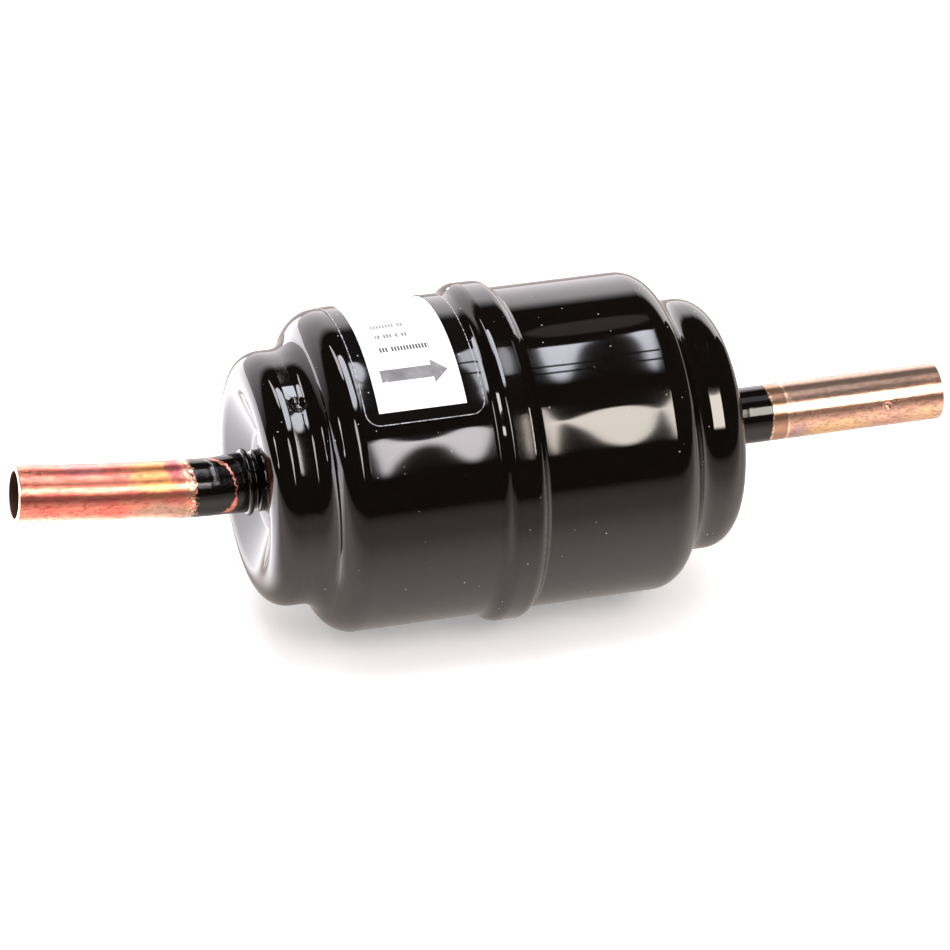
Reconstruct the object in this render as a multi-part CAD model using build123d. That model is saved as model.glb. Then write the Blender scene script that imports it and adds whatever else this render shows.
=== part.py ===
from build123d import *
import os
from math import cos, pi, radians, sin, sqrt, tan

# Filter drier: a sealed steel can of two drawn cups, copper tubes brazed to both ends, and a
# moulded desiccant core that a spring holds between filter pads. Units are millimetres.
# X runs from inlet to outlet, Z is up, and the origin is on the can's axis at the seam bead.
# A reach is a distance outwards from the mid plane between the two cups.

# Drawn cups
sheet = 1.8
shell_radius = 33.0
shoulder_step = 7.0
end_reach = 49.75
neck_length = 18.15
seam_offset = 0.62
shoulder_angle = 66.0
shoulder_bend = 6.4
root_bend = 4.4
end_bend = 5.65
dish_angle = 22.0
seat_radius = 9.97
dish_bend = 2.5

# Bell of the inlet cup, and the weld on its lip
bell_lip_reach = 1.52
bell_land = 3.5
bell_angle = 45.0
bell_bend = 2.4
bell_clearance = 0.05
cup_insertion = 3.3
weld_leg = 3.1
weld_toe_angle = 25.0

# Dimple pressed into the inlet neck
neck_dimple_setback = 7.7
neck_dimple_angle = 59.4
neck_dimple_ball = 2.3
neck_dimple_depth = 0.85
neck_dimple_edge = 0.5

# Turned spuds
flange_radius = 6.3
flange_height = 2.3
flange_chamfer = 0.3
shank_radius = 5.15
shank_clearance = 0.05
shank_tail = 0.8
spud_bore_radius = 3.5
nipple_length = 6.6
nipple_chamfer = 0.4
spud_weld_leg = 0.9

# Copper tubes
tube_radius = 5.9
tube_bore_radius = 4.55
nipple_clearance = 0.05
socket_radius = 4.815
socket_depth = 11.0
mouth_chamfer = 0.15
lip_radius = 6.85
lip_width = 1.3
lip_foot_radius = 6.15
lip_taper = 7.0
lead_in = 0.6
braze_gap = 1.0
braze_waist = 0.4
outlet_tube_length = 49.87
inlet_tube_length = 47.95
bend_lead = 1.3
bend_angle = 3.5
bend_radius = 26.0
sweep_angle = 3.4
sweep_lead = 0.6
socket_run = 12.6
stop_dimple_setback = 12.81
stop_dimple_angle = 10.8
hidden_dimple_angle = 180.0
stop_dimple_ball = 1.2
stop_dimple_depth = 0.65
stop_bump_wall = 1.0

# Label and its clear overlay
label_start_margin = 3.4
label_end_margin = 4.33
label_low_angle = 44.3
label_high_angle = 141.0
label_thickness = 0.1
overlay_start_margin = 2.8
overlay_end_margin = 3.65
overlay_edge_margin = 2.5
overlay_cover = 0.1
overlay_corner = 3.0

# Spring, plates, pads and core
bore_clearance = 0.2
seat_clearance = 0.05
core_clearance = 0.3
plate_setback = 0.5
plate_thickness = 1.2
plate_tab_length = 6.0
plate_tab_count = 6
plate_notch_width = 16.0
plate_notch_depth = 2.4
plate_hole_radius = 2.5
plate_inner_margin = 5.0
plate_outer_margin = 7.5
plate_inner_holes = 8
plate_outer_holes = 12
boss_height = 1.0
boss_clearance = 0.5
boss_flank = 1.0
boss_bend = 0.7
inlet_pad_thickness = 3.0
core_bore_radius = 8.0
core_floor = 14.0
core_chamfer = 1.5
seal_thickness = 2.0
outlet_pad_thickness = 3.0
support_thickness = 1.2
support_clearance = 0.3
support_hole_radius = 2.5
support_hole_pitch = 10.5
support_hole_rings = 2
support_ring_holes = 6
wire_radius = 1.0
spring_small_radius = 11.5
spring_turns = 3.5
spring_dead_turns = 0.3
spring_points_per_turn = 12

# The two ends, as signs along X
inlet = -1
outlet = 1

# Sizes that follow from those above
mid_x = -seam_offset
inner_radius = shell_radius - sheet
neck_radius = shell_radius - shoulder_step
shoulder_reach = end_reach - neck_length
bore_radius = inner_radius - bore_clearance
bell_radius = shell_radius + bell_clearance + sheet
neck_dimple_reach = end_reach - neck_dimple_setback
end_corner_reach = end_reach - end_bend + end_bend * tan(radians(90 + dish_angle) / 2)
seat_reach = end_corner_reach - (neck_radius - seat_radius) * tan(radians(dish_angle))
shank_hole_radius = shank_radius + shank_clearance
flange_reach = seat_reach + flange_height
tube_start_reach = flange_reach + braze_gap
taper_reach = tube_start_reach + lip_taper
inlet_tube_reach = tube_start_reach + inlet_tube_length
outlet_tube_reach = tube_start_reach + outlet_tube_length
nipple_radius = tube_bore_radius - nipple_clearance
bell_half_angle = radians(bell_angle) / 2
bell_crest_reach = bell_lip_reach - bell_land - bell_bend * tan(bell_half_angle)
bell_foot_reach = bell_crest_reach - (bell_radius - shell_radius) / tan(radians(bell_angle))
bell_start_reach = bell_foot_reach - bell_bend * tan(bell_half_angle)
label_start_reach = shoulder_reach - label_start_margin
label_end_reach = label_end_margin - bell_start_reach
label_radius = shell_radius + label_thickness
overlay_radius = label_radius + overlay_cover
core_radius = bore_radius - plate_thickness - core_clearance
plate_reach = shoulder_reach - plate_setback
plate_bend = plate_thickness + core_clearance
inlet_pad_reach = plate_reach - plate_thickness
inlet_core_reach = inlet_pad_reach - inlet_pad_thickness
support_radius = inner_radius - support_clearance
shoulder_centre_radius = shell_radius - shoulder_bend
shoulder_inner_bend = shoulder_bend - sheet
support_rise = support_radius - shoulder_centre_radius
support_reach = shoulder_reach + sqrt(shoulder_inner_bend**2 - support_rise**2) - seat_clearance
outlet_pad_reach = support_reach - support_thickness
seal_reach = outlet_pad_reach - outlet_pad_thickness
outlet_core_reach = seal_reach - seal_thickness


def at(side, reach, radius=0.0):
    """Point of a turned profile: X along the can, Y the radius."""
    return (mid_x + side * reach, radius)


def turned(*points):
    """Solid turned about the can's axis from the corners of its section."""
    return revolve(make_face(Polyline(*points, close=True)), Axis.X)


def disc(side, reach, thickness, radius, hole_radius=0.0):
    """Flat disc or ring whose outer face is at the given reach."""
    return turned(
        at(side, reach, hole_radius),
        at(side, reach, radius),
        at(side, reach - thickness, radius),
        at(side, reach - thickness, hole_radius),
    )


def sheet_ring(line, thickness, side):
    """Pressed sheet turned about the can's axis: the line is the face away from the core."""
    inwards = Side.RIGHT if side == inlet else Side.LEFT
    return revolve(make_face(offset(line, thickness, side=inwards)), Axis.X)


def end_corners(side):
    """Corners of a cup's outer line from the spud's hole to the straight wall."""
    shoulder_corner = shoulder_reach + shoulder_bend * tan(radians(shoulder_angle) / 2)
    neck_corner = shoulder_corner + (shell_radius - neck_radius) / tan(radians(shoulder_angle))
    return [
        at(side, seat_reach, shank_hole_radius),
        at(side, seat_reach, seat_radius),
        at(side, end_corner_reach, neck_radius),
        at(side, neck_corner, neck_radius),
        at(side, shoulder_corner, shell_radius),
    ]


def bell_corners():
    """Corners of the step that widens the inlet cup into its bell, and the lip."""
    return [
        at(outlet, bell_foot_reach, shell_radius),
        at(outlet, bell_crest_reach, bell_radius),
        at(outlet, bell_lip_reach, bell_radius),
    ]


def make_inlet_shell():
    """Inlet cup with its bell and the dimple pressed into its neck."""
    bends = [dish_bend, end_bend, root_bend, shoulder_bend, bell_bend, bell_bend]
    line = FilletPolyline(*end_corners(inlet), *bell_corners(), radius=bends)
    cup = sheet_ring(line, sheet, inlet)
    return press_dimple(cup)


def press_dimple(cup):
    """Pushes a round dimple into the neck and bulges the sheet behind it."""
    lift = neck_radius + neck_dimple_ball - neck_dimple_depth
    place = Pos(mid_x - neck_dimple_reach) * Rot(X=-neck_dimple_angle) * Pos(0, -lift, 0)
    place = place * Rot(Z=-90)
    behind = Rot(Y=90) * Cylinder(neck_radius - sheet / 2, 2 * end_reach)
    bulge = place * Sphere(neck_dimple_ball + sheet) & behind
    ball = place * Sphere(neck_dimple_ball)
    dented = cup + bulge - ball
    centre = place.position
    rim = [
        edge
        for edge in dented.edges()
        if abs((edge @ 0.5 - centre).length - neck_dimple_ball) < neck_dimple_edge / 10
    ]
    return fillet(rim, neck_dimple_edge)


def make_outlet_shell():
    """Outlet cup, whose plain rim slides into the bell."""
    rim = at(outlet, bell_lip_reach - cup_insertion, shell_radius)
    bends = [dish_bend, end_bend, root_bend, shoulder_bend]
    line = FilletPolyline(*end_corners(outlet), rim, radius=bends)
    return sheet_ring(line, sheet, outlet)


def make_girth_weld():
    """Weld run that blends the bell's lip into the outlet cup."""
    root = at(outlet, bell_lip_reach, shell_radius)
    crown = at(outlet, bell_lip_reach, bell_radius)
    toe = at(outlet, bell_lip_reach + weld_leg, shell_radius)
    toe_slope = radians(weld_toe_angle)
    face_line = Spline(crown, toe, tangents=[(1, 0), (cos(toe_slope), -sin(toe_slope))])
    return revolve(make_face(Curve() + [Polyline(toe, root, crown), face_line]), Axis.X)


def make_spud(side):
    """Turned fitting: shank in the cup's hole, flange on its seat, nipple in the tube."""
    tail = seat_reach - sheet - shank_tail
    tip = flange_reach + nipple_length
    return turned(
        at(side, tail, spud_bore_radius),
        at(side, tail, shank_radius),
        at(side, seat_reach, shank_radius),
        at(side, seat_reach, flange_radius),
        at(side, flange_reach - flange_chamfer, flange_radius),
        at(side, flange_reach, flange_radius - flange_chamfer),
        at(side, flange_reach, nipple_radius),
        at(side, tip - nipple_chamfer, nipple_radius),
        at(side, tip, nipple_radius - nipple_chamfer),
        at(side, tip, spud_bore_radius),
    )


def make_spud_weld(side):
    """Hollow fillet in the corner between the flange and the seat."""
    corner = at(side, seat_reach, flange_radius)
    on_flange = at(side, seat_reach + spud_weld_leg, flange_radius)
    on_seat = at(side, seat_reach, flange_radius + spud_weld_leg)
    waist = at(side, seat_reach + spud_weld_leg / 3, flange_radius + spud_weld_leg / 3)
    section = Curve() + [Polyline(on_seat, corner, on_flange), ThreePointArc(on_flange, waist, on_seat)]
    return revolve(make_face(section), Axis.X)


def make_braze_ring(side):
    """Braze that fills the gap between the flange and the tube's lip."""
    flange_edge = at(side, flange_reach, tube_radius)
    lip_edge = at(side, tube_start_reach, tube_radius)
    waist = at(side, flange_reach + braze_gap / 2, tube_radius - braze_waist)
    inner = Polyline(
        lip_edge,
        at(side, tube_start_reach, tube_bore_radius + lead_in),
        at(side, tube_start_reach + 2 * lead_in, tube_bore_radius),
        at(side, tube_start_reach + 2 * lead_in, nipple_radius),
        at(side, flange_reach, nipple_radius),
        flange_edge,
    )
    return revolve(make_face(Curve() + [inner, ThreePointArc(flange_edge, waist, lip_edge)]), Axis.X)


def tube_root(side):
    """Belled end of a tube: rolled lip, lead-in, and the taper down to the tube's own size."""
    foot = at(side, tube_start_reach + lip_width, lip_foot_radius)
    crest = at(side, tube_start_reach + lip_width / 2, lip_radius)
    face_edge = at(side, tube_start_reach, lip_foot_radius)
    rest = Polyline(
        face_edge,
        at(side, tube_start_reach, tube_bore_radius + lead_in),
        at(side, tube_start_reach + 2 * lead_in, tube_bore_radius),
        at(side, taper_reach, tube_bore_radius),
        at(side, taper_reach, tube_radius),
        foot,
    )
    return revolve(make_face(Curve() + [rest, ThreePointArc(foot, crest, face_edge)]), Axis.X)


def finish_mouth(tube, mouth, dimple_angle):
    """Sizes the socket, presses the stop dimple and breaks the mouth's edges."""
    place = mouth * Rot(Z=dimple_angle) * Pos(
        tube_radius + stop_dimple_ball - stop_dimple_depth, 0, -stop_dimple_setback
    )
    behind = mouth * Pos(0, 0, -stop_dimple_setback) * Cylinder(
        (tube_radius + tube_bore_radius) / 2, 4 * stop_dimple_ball
    )
    bump = place * Sphere(stop_dimple_ball + stop_bump_wall) & behind
    sized = tube - mouth * Cylinder(socket_radius, 2 * socket_depth)
    dented = sized + bump - place * Sphere(stop_dimple_ball)
    rim = dented.faces().sort_by_distance(mouth.origin)[0]
    return chamfer(rim.edges(), mouth_chamfer)


def make_outlet_tube():
    """Straight copper tube."""
    start = Vector(*at(outlet, taper_reach))
    end = Vector(*at(outlet, outlet_tube_reach))
    section = Plane(origin=start, z_dir=(1, 0, 0)) * (Circle(tube_radius) - Circle(tube_bore_radius))
    tube = tube_root(outlet) + extrude(section, (end - start).length)
    mouth = Plane(origin=end, x_dir=(0, -1, 0), z_dir=(1, 0, 0))
    return finish_mouth(tube, mouth, -stop_dimple_angle)


def inlet_tube_path():
    """Centre line past the taper: a short bend, a long gentle one, and the straight socket."""
    start_x, _ = at(inlet, taper_reach)
    bend_x, _ = at(inlet, taper_reach + bend_lead)
    mouth_x, _ = at(inlet, inlet_tube_reach)
    first = radians(bend_angle)
    final = radians(bend_angle + sweep_angle)
    bend_half = bend_radius * tan(first / 2)
    free_run = (bend_x - mouth_x) / cos(final) - socket_run - bend_half - sweep_lead
    half_sweep = free_run / 2
    sweep_radius = half_sweep / tan(radians(sweep_angle) / 2)
    sweep_x = mouth_x + (socket_run + half_sweep) * cos(final)
    sweep_z = (bend_x - sweep_x) * tan(first)
    mouth_z = sweep_z + (sweep_x - mouth_x) * tan(final)
    corners = [(start_x, 0, 0), (bend_x, 0, 0), (sweep_x, 0, sweep_z), (mouth_x, 0, mouth_z)]
    return FilletPolyline(*corners, radius=[bend_radius, sweep_radius])


def make_inlet_tube():
    """Copper tube that rises a little towards its mouth."""
    path = inlet_tube_path()
    section = Plane(origin=path @ 0, z_dir=path % 0) * (Circle(tube_radius) - Circle(tube_bore_radius))
    tube = tube_root(inlet) + sweep(section, path=path)
    mouth = Plane(origin=path @ 1, x_dir=(0, -1, 0), z_dir=path % 1)
    return finish_mouth(tube, mouth, hidden_dimple_angle)


def can_patch(start, stop, low_angle, high_angle, inner, outer):
    """Curved patch on the inlet cup's wall, between two angles up from the near side."""
    section = make_face(
        Polyline(
            at(inlet, start, inner),
            at(inlet, start, outer),
            at(inlet, stop, outer),
            at(inlet, stop, inner),
            close=True,
        )
    )
    return Rot(X=180 - high_angle) * revolve(section, Axis.X, revolution_arc=high_angle - low_angle)


def make_label_sheet():
    """Printed label on the can."""
    return can_patch(
        label_start_reach,
        label_end_reach,
        label_low_angle,
        label_high_angle,
        shell_radius,
        label_radius,
    )


def make_label_overlay():
    """Clear film over the label, with round corners and a margin that sticks to the can."""
    margin_angle = overlay_edge_margin / shell_radius * 180 / pi
    film = can_patch(
        label_start_reach + overlay_start_margin,
        label_end_reach - overlay_end_margin,
        label_low_angle - margin_angle,
        label_high_angle + margin_angle,
        shell_radius,
        overlay_radius,
    )
    thickness = overlay_radius - shell_radius
    corners = [edge for edge in film.edges() if abs(edge.length - thickness) < thickness / 10]
    return fillet(corners, overlay_corner) - make_label_sheet()


def make_pressure_spring():
    """Conical spring with flat ends, from the end's inner groove to the plate."""
    groove_radius = neck_radius - end_bend
    start_reach = end_reach - sheet - wire_radius - seat_clearance
    stop_reach = plate_reach + wire_radius + seat_clearance
    dead = spring_dead_turns / spring_turns
    steps = round(spring_turns * spring_points_per_turn)
    points = []
    for step in range(steps + 1):
        share = step / steps
        rise = min(max((share - dead) / (1 - 2 * dead), 0), 1)
        rise = rise * rise * (3 - 2 * rise)
        angle = 2 * pi * spring_turns * share
        coil = groove_radius + (spring_small_radius - groove_radius) * rise
        reach = start_reach + (stop_reach - start_reach) * rise
        x, _ = at(inlet, reach)
        points.append((x, coil * cos(angle), coil * sin(angle)))
    path = Spline(*points)
    return sweep(Plane(origin=path @ 0, z_dir=path % 0) * Circle(wire_radius), path=path)


def make_spring_plate():
    """Pressed plate: boss inside the spring, flow holes, and tabs round the core."""
    boss_radius = spring_small_radius - wire_radius - boss_clearance
    line = FilletPolyline(
        at(inlet, plate_reach + boss_height, 0),
        at(inlet, plate_reach + boss_height, boss_radius - boss_flank),
        at(inlet, plate_reach, boss_radius),
        at(inlet, plate_reach, bore_radius),
        at(inlet, plate_reach - plate_thickness - plate_tab_length, bore_radius),
        radius=[boss_bend, boss_bend, plate_bend],
    )
    plate = sheet_ring(line, plate_thickness, inlet)
    hole = Cylinder(plate_hole_radius, 4 * plate_thickness)
    notch = Pos(bore_radius, 0, 0) * Box(2 * plate_notch_depth, plate_notch_width, 4 * plate_tab_length)
    inner_circle = spring_small_radius + plate_inner_margin
    outer_circle = bore_radius - plate_outer_margin
    cuts = PolarLocations(inner_circle, plate_inner_holes) * hole
    cuts += PolarLocations(outer_circle, plate_outer_holes) * hole
    cuts += PolarLocations(0, plate_tab_count) * notch
    face = Plane(origin=at(inlet, plate_reach), z_dir=(1, 0, 0))
    return plate - [face * cut for cut in cuts]


def make_desiccant_core():
    """Moulded block with chamfered ends and a blind bore from the outlet side."""
    floor_x, _ = at(inlet, inlet_core_reach - core_floor)
    block = turned(
        at(inlet, inlet_core_reach),
        at(inlet, inlet_core_reach, core_radius - core_chamfer),
        at(inlet, inlet_core_reach - core_chamfer, core_radius),
        at(outlet, outlet_core_reach - core_chamfer, core_radius),
        at(outlet, outlet_core_reach, core_radius - core_chamfer),
        at(outlet, outlet_core_reach),
    )
    end_x, _ = at(outlet, outlet_core_reach)
    bore = turned(
        (floor_x, 0),
        (floor_x, core_bore_radius - core_chamfer),
        (floor_x + core_chamfer, core_bore_radius),
        (end_x, core_bore_radius),
        (end_x, 0),
    )
    return block - bore


def make_support_plate():
    """Plate with rings of round holes that rests on the outlet cup's shoulder."""
    plate = disc(outlet, support_reach, support_thickness, support_radius)
    hole = Cylinder(support_hole_radius, 4 * support_thickness)
    cuts = [hole]
    for ring in range(1, support_hole_rings + 1):
        cuts += PolarLocations(ring * support_hole_pitch, support_ring_holes * ring) * hole
    face = Plane(origin=at(outlet, support_reach), z_dir=(1, 0, 0))
    return plate - [face * cut for cut in cuts]


nodes = {
    "inlet_shell": make_inlet_shell(),
    "outlet_shell": make_outlet_shell(),
    "girth_weld": make_girth_weld(),
    "inlet_spud": make_spud(inlet),
    "outlet_spud": make_spud(outlet),
    "inlet_spud_weld": make_spud_weld(inlet),
    "outlet_spud_weld": make_spud_weld(outlet),
    "inlet_braze_ring": make_braze_ring(inlet),
    "outlet_braze_ring": make_braze_ring(outlet),
    "inlet_tube": make_inlet_tube(),
    "outlet_tube": make_outlet_tube(),
    "label_sheet": make_label_sheet(),
    "label_overlay": make_label_overlay(),
    "pressure_spring": make_pressure_spring(),
    "spring_plate": make_spring_plate(),
    "inlet_pad": disc(inlet, inlet_pad_reach, inlet_pad_thickness, core_radius),
    "desiccant_core": make_desiccant_core(),
    "core_seal": disc(outlet, seal_reach, seal_thickness, bore_radius, core_bore_radius + core_chamfer),
    "outlet_pad": disc(outlet, outlet_pad_reach, outlet_pad_thickness, bore_radius),
    "support_plate": make_support_plate(),
}

os.makedirs("parts", exist_ok=True)
for name, shape in nodes.items():
    export_step(shape, f"parts/{name}.step")
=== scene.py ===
"""Looks of a filter drier: finishes, label print, studio lights and camera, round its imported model."""

import logging
import math
from dataclasses import dataclass
from enum import Enum
from typing import Union

import bpy
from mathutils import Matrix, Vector


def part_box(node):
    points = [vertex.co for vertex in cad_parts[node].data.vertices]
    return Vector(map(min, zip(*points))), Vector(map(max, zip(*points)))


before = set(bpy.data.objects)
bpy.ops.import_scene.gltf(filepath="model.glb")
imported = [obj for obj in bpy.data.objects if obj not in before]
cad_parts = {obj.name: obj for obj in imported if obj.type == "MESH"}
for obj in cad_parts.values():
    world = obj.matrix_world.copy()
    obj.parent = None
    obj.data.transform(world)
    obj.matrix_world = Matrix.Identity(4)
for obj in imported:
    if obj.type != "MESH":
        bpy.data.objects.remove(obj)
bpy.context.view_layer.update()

Tree = bpy.types.NodeTree
Node = bpy.types.Node
Socket = bpy.types.NodeSocket
Material = bpy.types.Material
Colour = tuple[float, float, float, float]
Value = Union[float, Socket]
Station = tuple[float, float, float]

MM = 0.001

log = logging.getLogger("filter_drier")


class Ends(Enum):
    """The two ends of the can, as signs along X."""

    INLET = -1
    OUTLET = 1


def grey(level: float) -> Colour:
    """Neutral colour of the given level."""
    return (level, level, level, 1.0)


class Graph:
    """Short way to place and join the nodes of one node tree.

    After unroll it also keeps a round piece's place in metres, with its millimetres along X, its
    degrees up from the near side and its radius.
    """

    here: Socket
    along: Socket
    angle: Socket
    radius: Socket

    def __init__(self, tree: Tree) -> None:
        """Starts from an empty tree."""
        self.tree = tree
        tree.nodes.clear()

    def node(self, kind: str, **settings: object) -> Node:
        """Adds a node.

        Args:
            kind: Blender's name of the node's type.
            settings: Properties of the node.

        Returns:
            The new node.
        """
        made = self.tree.nodes.new(kind)
        for name, value in settings.items():
            setattr(made, name, value)
        return made

    def feed(self, target: Socket, value: object) -> None:
        """Joins a socket to a target, or sets the target's own value.

        Args:
            target: The input that is fed.
            value: A socket, a number or a colour.
        """
        if isinstance(value, Socket):
            self.tree.links.new(value, target)
        else:
            target.default_value = value

    def math(self, operation: str, *values: Value) -> Socket:
        """Result of a Math node on up to three values.

        Args:
            operation: Blender's name of the operation.
            values: Numbers or sockets.

        Returns:
            The result's socket.
        """
        made = self.node("ShaderNodeMath", operation=operation)
        for socket, value in zip(made.inputs, values):
            self.feed(socket, value)
        return made.outputs[0]

    def ramp(self, value: Value, start: float, stop: float, low: float = 0.0, high: float = 1.0) -> Socket:
        """Smooth step of a value.

        Args:
            value: What is mapped.
            start: Value at which the result is low.
            stop: Value at which the result is high.
            low: Result before the start.
            high: Result after the stop.

        Returns:
            The mapped value.
        """
        made = self.node("ShaderNodeMapRange", interpolation_type="SMOOTHSTEP")
        names = ("Value", "From Min", "From Max", "To Min", "To Max")
        for name, given in zip(names, (value, start, stop, low, high)):
            self.feed(made.inputs[name], given)
        return made.outputs[0]

    def mix(self, share: Value, first: object, second: object) -> Socket:
        """Colour between two colours.

        Args:
            share: 0 gives the first colour and 1 the second.
            first: A colour or a colour socket.
            second: A colour or a colour socket.

        Returns:
            The mixed colour.
        """
        made = self.node("ShaderNodeMix", data_type="RGBA")
        colours = [socket for socket in made.inputs if socket.type == "RGBA"]
        self.feed(made.inputs["Factor"], share)
        self.feed(colours[0], first)
        self.feed(colours[1], second)
        return next(socket for socket in made.outputs if socket.type == "RGBA")

    def noise(self, place: Socket, scale: float, detail: float = 2.0, roughness: float = 0.5) -> Socket:
        """Value of smooth noise at a place.

        Args:
            place: Where it is read.
            scale: Waves in a metre.
            detail: Finer layers on top.
            roughness: Share of each finer layer.

        Returns:
            The noise, from 0 to 1.
        """
        made = self.node("ShaderNodeTexNoise")
        names = ("Vector", "Scale", "Detail", "Roughness")
        for name, value in zip(names, (place, scale, detail, roughness)):
            self.feed(made.inputs[name], value)
        return made.outputs[0]

    def place(self) -> Socket:
        """Place on the part in its own frame, in metres."""
        return self.node("ShaderNodeTexCoord").outputs["Object"]

    def axes(self, place: Socket) -> tuple[Socket, Socket, Socket]:
        """The three parts of a place.

        Args:
            place: Place on the part, in metres.

        Returns:
            Its X, Y and Z.
        """
        made = self.node("ShaderNodeSeparateXYZ")
        self.feed(made.inputs[0], place)
        return made.outputs[0], made.outputs[1], made.outputs[2]

    def group(self, shared: Tree, **values: object) -> Node:
        """Places a shared group with its own values.

        Args:
            shared: The group's tree.
            values: Its inputs by name, with low lines for spaces.

        Returns:
            The group's node.
        """
        made = self.node("ShaderNodeGroup", node_tree=shared)
        for name, value in values.items():
            self.feed(made.inputs[name.replace("_", " ")], value)
        return made

    def unroll(self, shared: Tree, start: float = -1000.0, slope: float = 0.0, curve: float = 0.0) -> None:
        """Reads the place on a round piece.

        Args:
            shared: The shared group that unrolls a place.
            start: X before which the piece's centre line rises.
            slope: Slope of the rise.
            curve: Gain of the slope with each millimetre.
        """
        found = self.group(shared, Rise_start=start, Rise_slope=slope, Rise_curve=curve).outputs
        self.along, self.angle, self.radius = (found[label] for label in ("Along", "Angle", "Radius"))
        self.here = self.place()

    def bump(self, height: Socket, distance: float) -> Socket:
        """Normal of a surface with a height on it.

        Args:
            height: The height's pattern, from 0 to 1.
            distance: How high 1 stands, in metres.

        Returns:
            The new normal.
        """
        made = self.node("ShaderNodeBump")
        made.inputs["Distance"].default_value = distance
        self.feed(made.inputs["Height"], height)
        return made.outputs[0]

    def times(self, first: Value, *others: Value) -> Socket:
        """Product of values, such as the mask that several masks share.

        Args:
            first: First value.
            others: The other values.

        Returns:
            Their product.
        """
        for other in others:
            first = self.math("MULTIPLY", first, other)
        return first

    def minus(self, value: Value, taken: Value) -> Socket:
        """Difference of two values."""
        return self.math("SUBTRACT", value, taken)

    def between(self, value: Socket, low: float, high: float) -> Socket:
        """Mask of a value between two ends."""
        return self.times(self.math("GREATER_THAN", value, low), self.math("LESS_THAN", value, high))

    def off(self, value: Socket, middle: float) -> Socket:
        """Distance of a value from a middle."""
        return self.math("ABSOLUTE", self.minus(value, middle))

    def output(self, shader: Node, kind: str = "ShaderNodeOutputMaterial") -> None:
        """Joins a shader to the output of the material, or to an output of another kind."""
        self.feed(self.node(kind).inputs["Surface"], shader.outputs[0])

    def surface(self, **values: object) -> None:
        """Adds the material's one surface shader and its output.

        Args:
            values: Inputs of the shader by name, with low lines for spaces.
        """
        shader = self.node("ShaderNodeBsdfPrincipled")
        for name, value in values.items():
            self.feed(shader.inputs[name.replace("_", " ")], value)
        self.output(shader)


def new_material(name: str) -> tuple[Material, Graph]:
    """Makes an empty material.

    Args:
        name: The material's name.

    Returns:
        The material and the graph that fills it.
    """
    material = bpy.data.materials.new(name)
    material.use_nodes = True
    return material, Graph(material.node_tree)


def new_group(
    name: str, inputs: dict[str, float], outputs: tuple[str, ...],
) -> tuple[Graph, dict[str, Socket], Node]:
    """Makes a shared node group with number inputs and outputs.

    Args:
        name: The group's name.
        inputs: Each input's name and usual value.
        outputs: The outputs' names.

    Returns:
        The group's graph, its input sockets by name, and its output node.
    """
    tree = bpy.data.node_groups.new(name, "ShaderNodeTree")
    graph = Graph(tree)
    for label, value in inputs.items():
        socket = tree.interface.new_socket(label, in_out="INPUT", socket_type="NodeSocketFloat")
        socket.default_value = value
    for label in outputs:
        tree.interface.new_socket(label, in_out="OUTPUT", socket_type="NodeSocketFloat")
    entry = graph.node("NodeGroupInput")
    return graph, {label: entry.outputs[label] for label in inputs}, graph.node("NodeGroupOutput")


def make_orange_peel() -> Tree:
    """Group: height of the fine waves that sprayed and baked enamel dries with.

    Returns:
        The group's tree.
    """
    sizes = {"Wave": 520.0, "Swell": 95.0, "Swell share": 0.5}
    graph, given, out = new_group("orange_peel", sizes, ("Height",))
    place = graph.place()
    wave = graph.noise(place, given["Wave"], 1.0)
    swell = graph.noise(place, given["Swell"], 1.0)
    graph.feed(out.inputs["Height"], graph.math("MULTIPLY_ADD", swell, given["Swell share"], wave))
    return graph.tree


def make_dust() -> Tree:
    """Group: mask of single dust specks, scattered more thickly in some places than in others.

    Returns:
        The group's tree.
    """
    graph, given, out = new_group("dust", {"Cells": 900.0, "Share": 0.09, "Size": 0.11}, ("Speck",))
    place = graph.place()
    cells = graph.node("ShaderNodeTexVoronoi", feature="F1")
    graph.feed(cells.inputs["Vector"], place)
    graph.feed(cells.inputs["Scale"], given["Cells"])
    pick = graph.node("ShaderNodeSeparateColor")
    graph.feed(pick.inputs[0], cells.outputs["Color"])
    drift = graph.ramp(graph.noise(place, 60.0), 0.35, 0.7, 0.3, 1.6)
    chosen = graph.math("LESS_THAN", pick.outputs[0], graph.times(given["Share"], drift))
    reach = graph.times(given["Size"], graph.math("ADD", pick.outputs[1], 0.35))
    near = graph.math("LESS_THAN", cells.outputs["Distance"], reach)
    graph.feed(out.inputs["Speck"], graph.times(chosen, near))
    return graph.tree


def make_unrolled() -> Tree:
    """Group: place on a round piece as millimetres along X, degrees up from the near side, and radius.

    The piece's centre line may rise towards -X: from the start place it gains the slope and the curve.

    Returns:
        The group's tree.
    """
    rise = {"Rise start": -1000.0, "Rise slope": 0.0, "Rise curve": 0.0}
    graph, given, out = new_group("unrolled", rise, ("Along", "Angle", "Radius"))
    x, y, z = (graph.math("DIVIDE", part, MM) for part in graph.axes(graph.place()))
    past = graph.math("MAXIMUM", graph.minus(given["Rise start"], x), 0.0)
    gained = graph.math("MULTIPLY_ADD", past, given["Rise curve"], given["Rise slope"])
    height = graph.minus(z, graph.times(past, gained))
    angle = graph.math("ARCTAN2", height, graph.times(y, -1.0))
    squares = graph.math("MULTIPLY_ADD", y, y, graph.times(height, height))
    graph.feed(out.inputs["Along"], x)
    graph.feed(out.inputs["Angle"], graph.math("DEGREES", angle))
    graph.feed(out.inputs["Radius"], graph.math("SQRT", squares))
    return graph.tree


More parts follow.
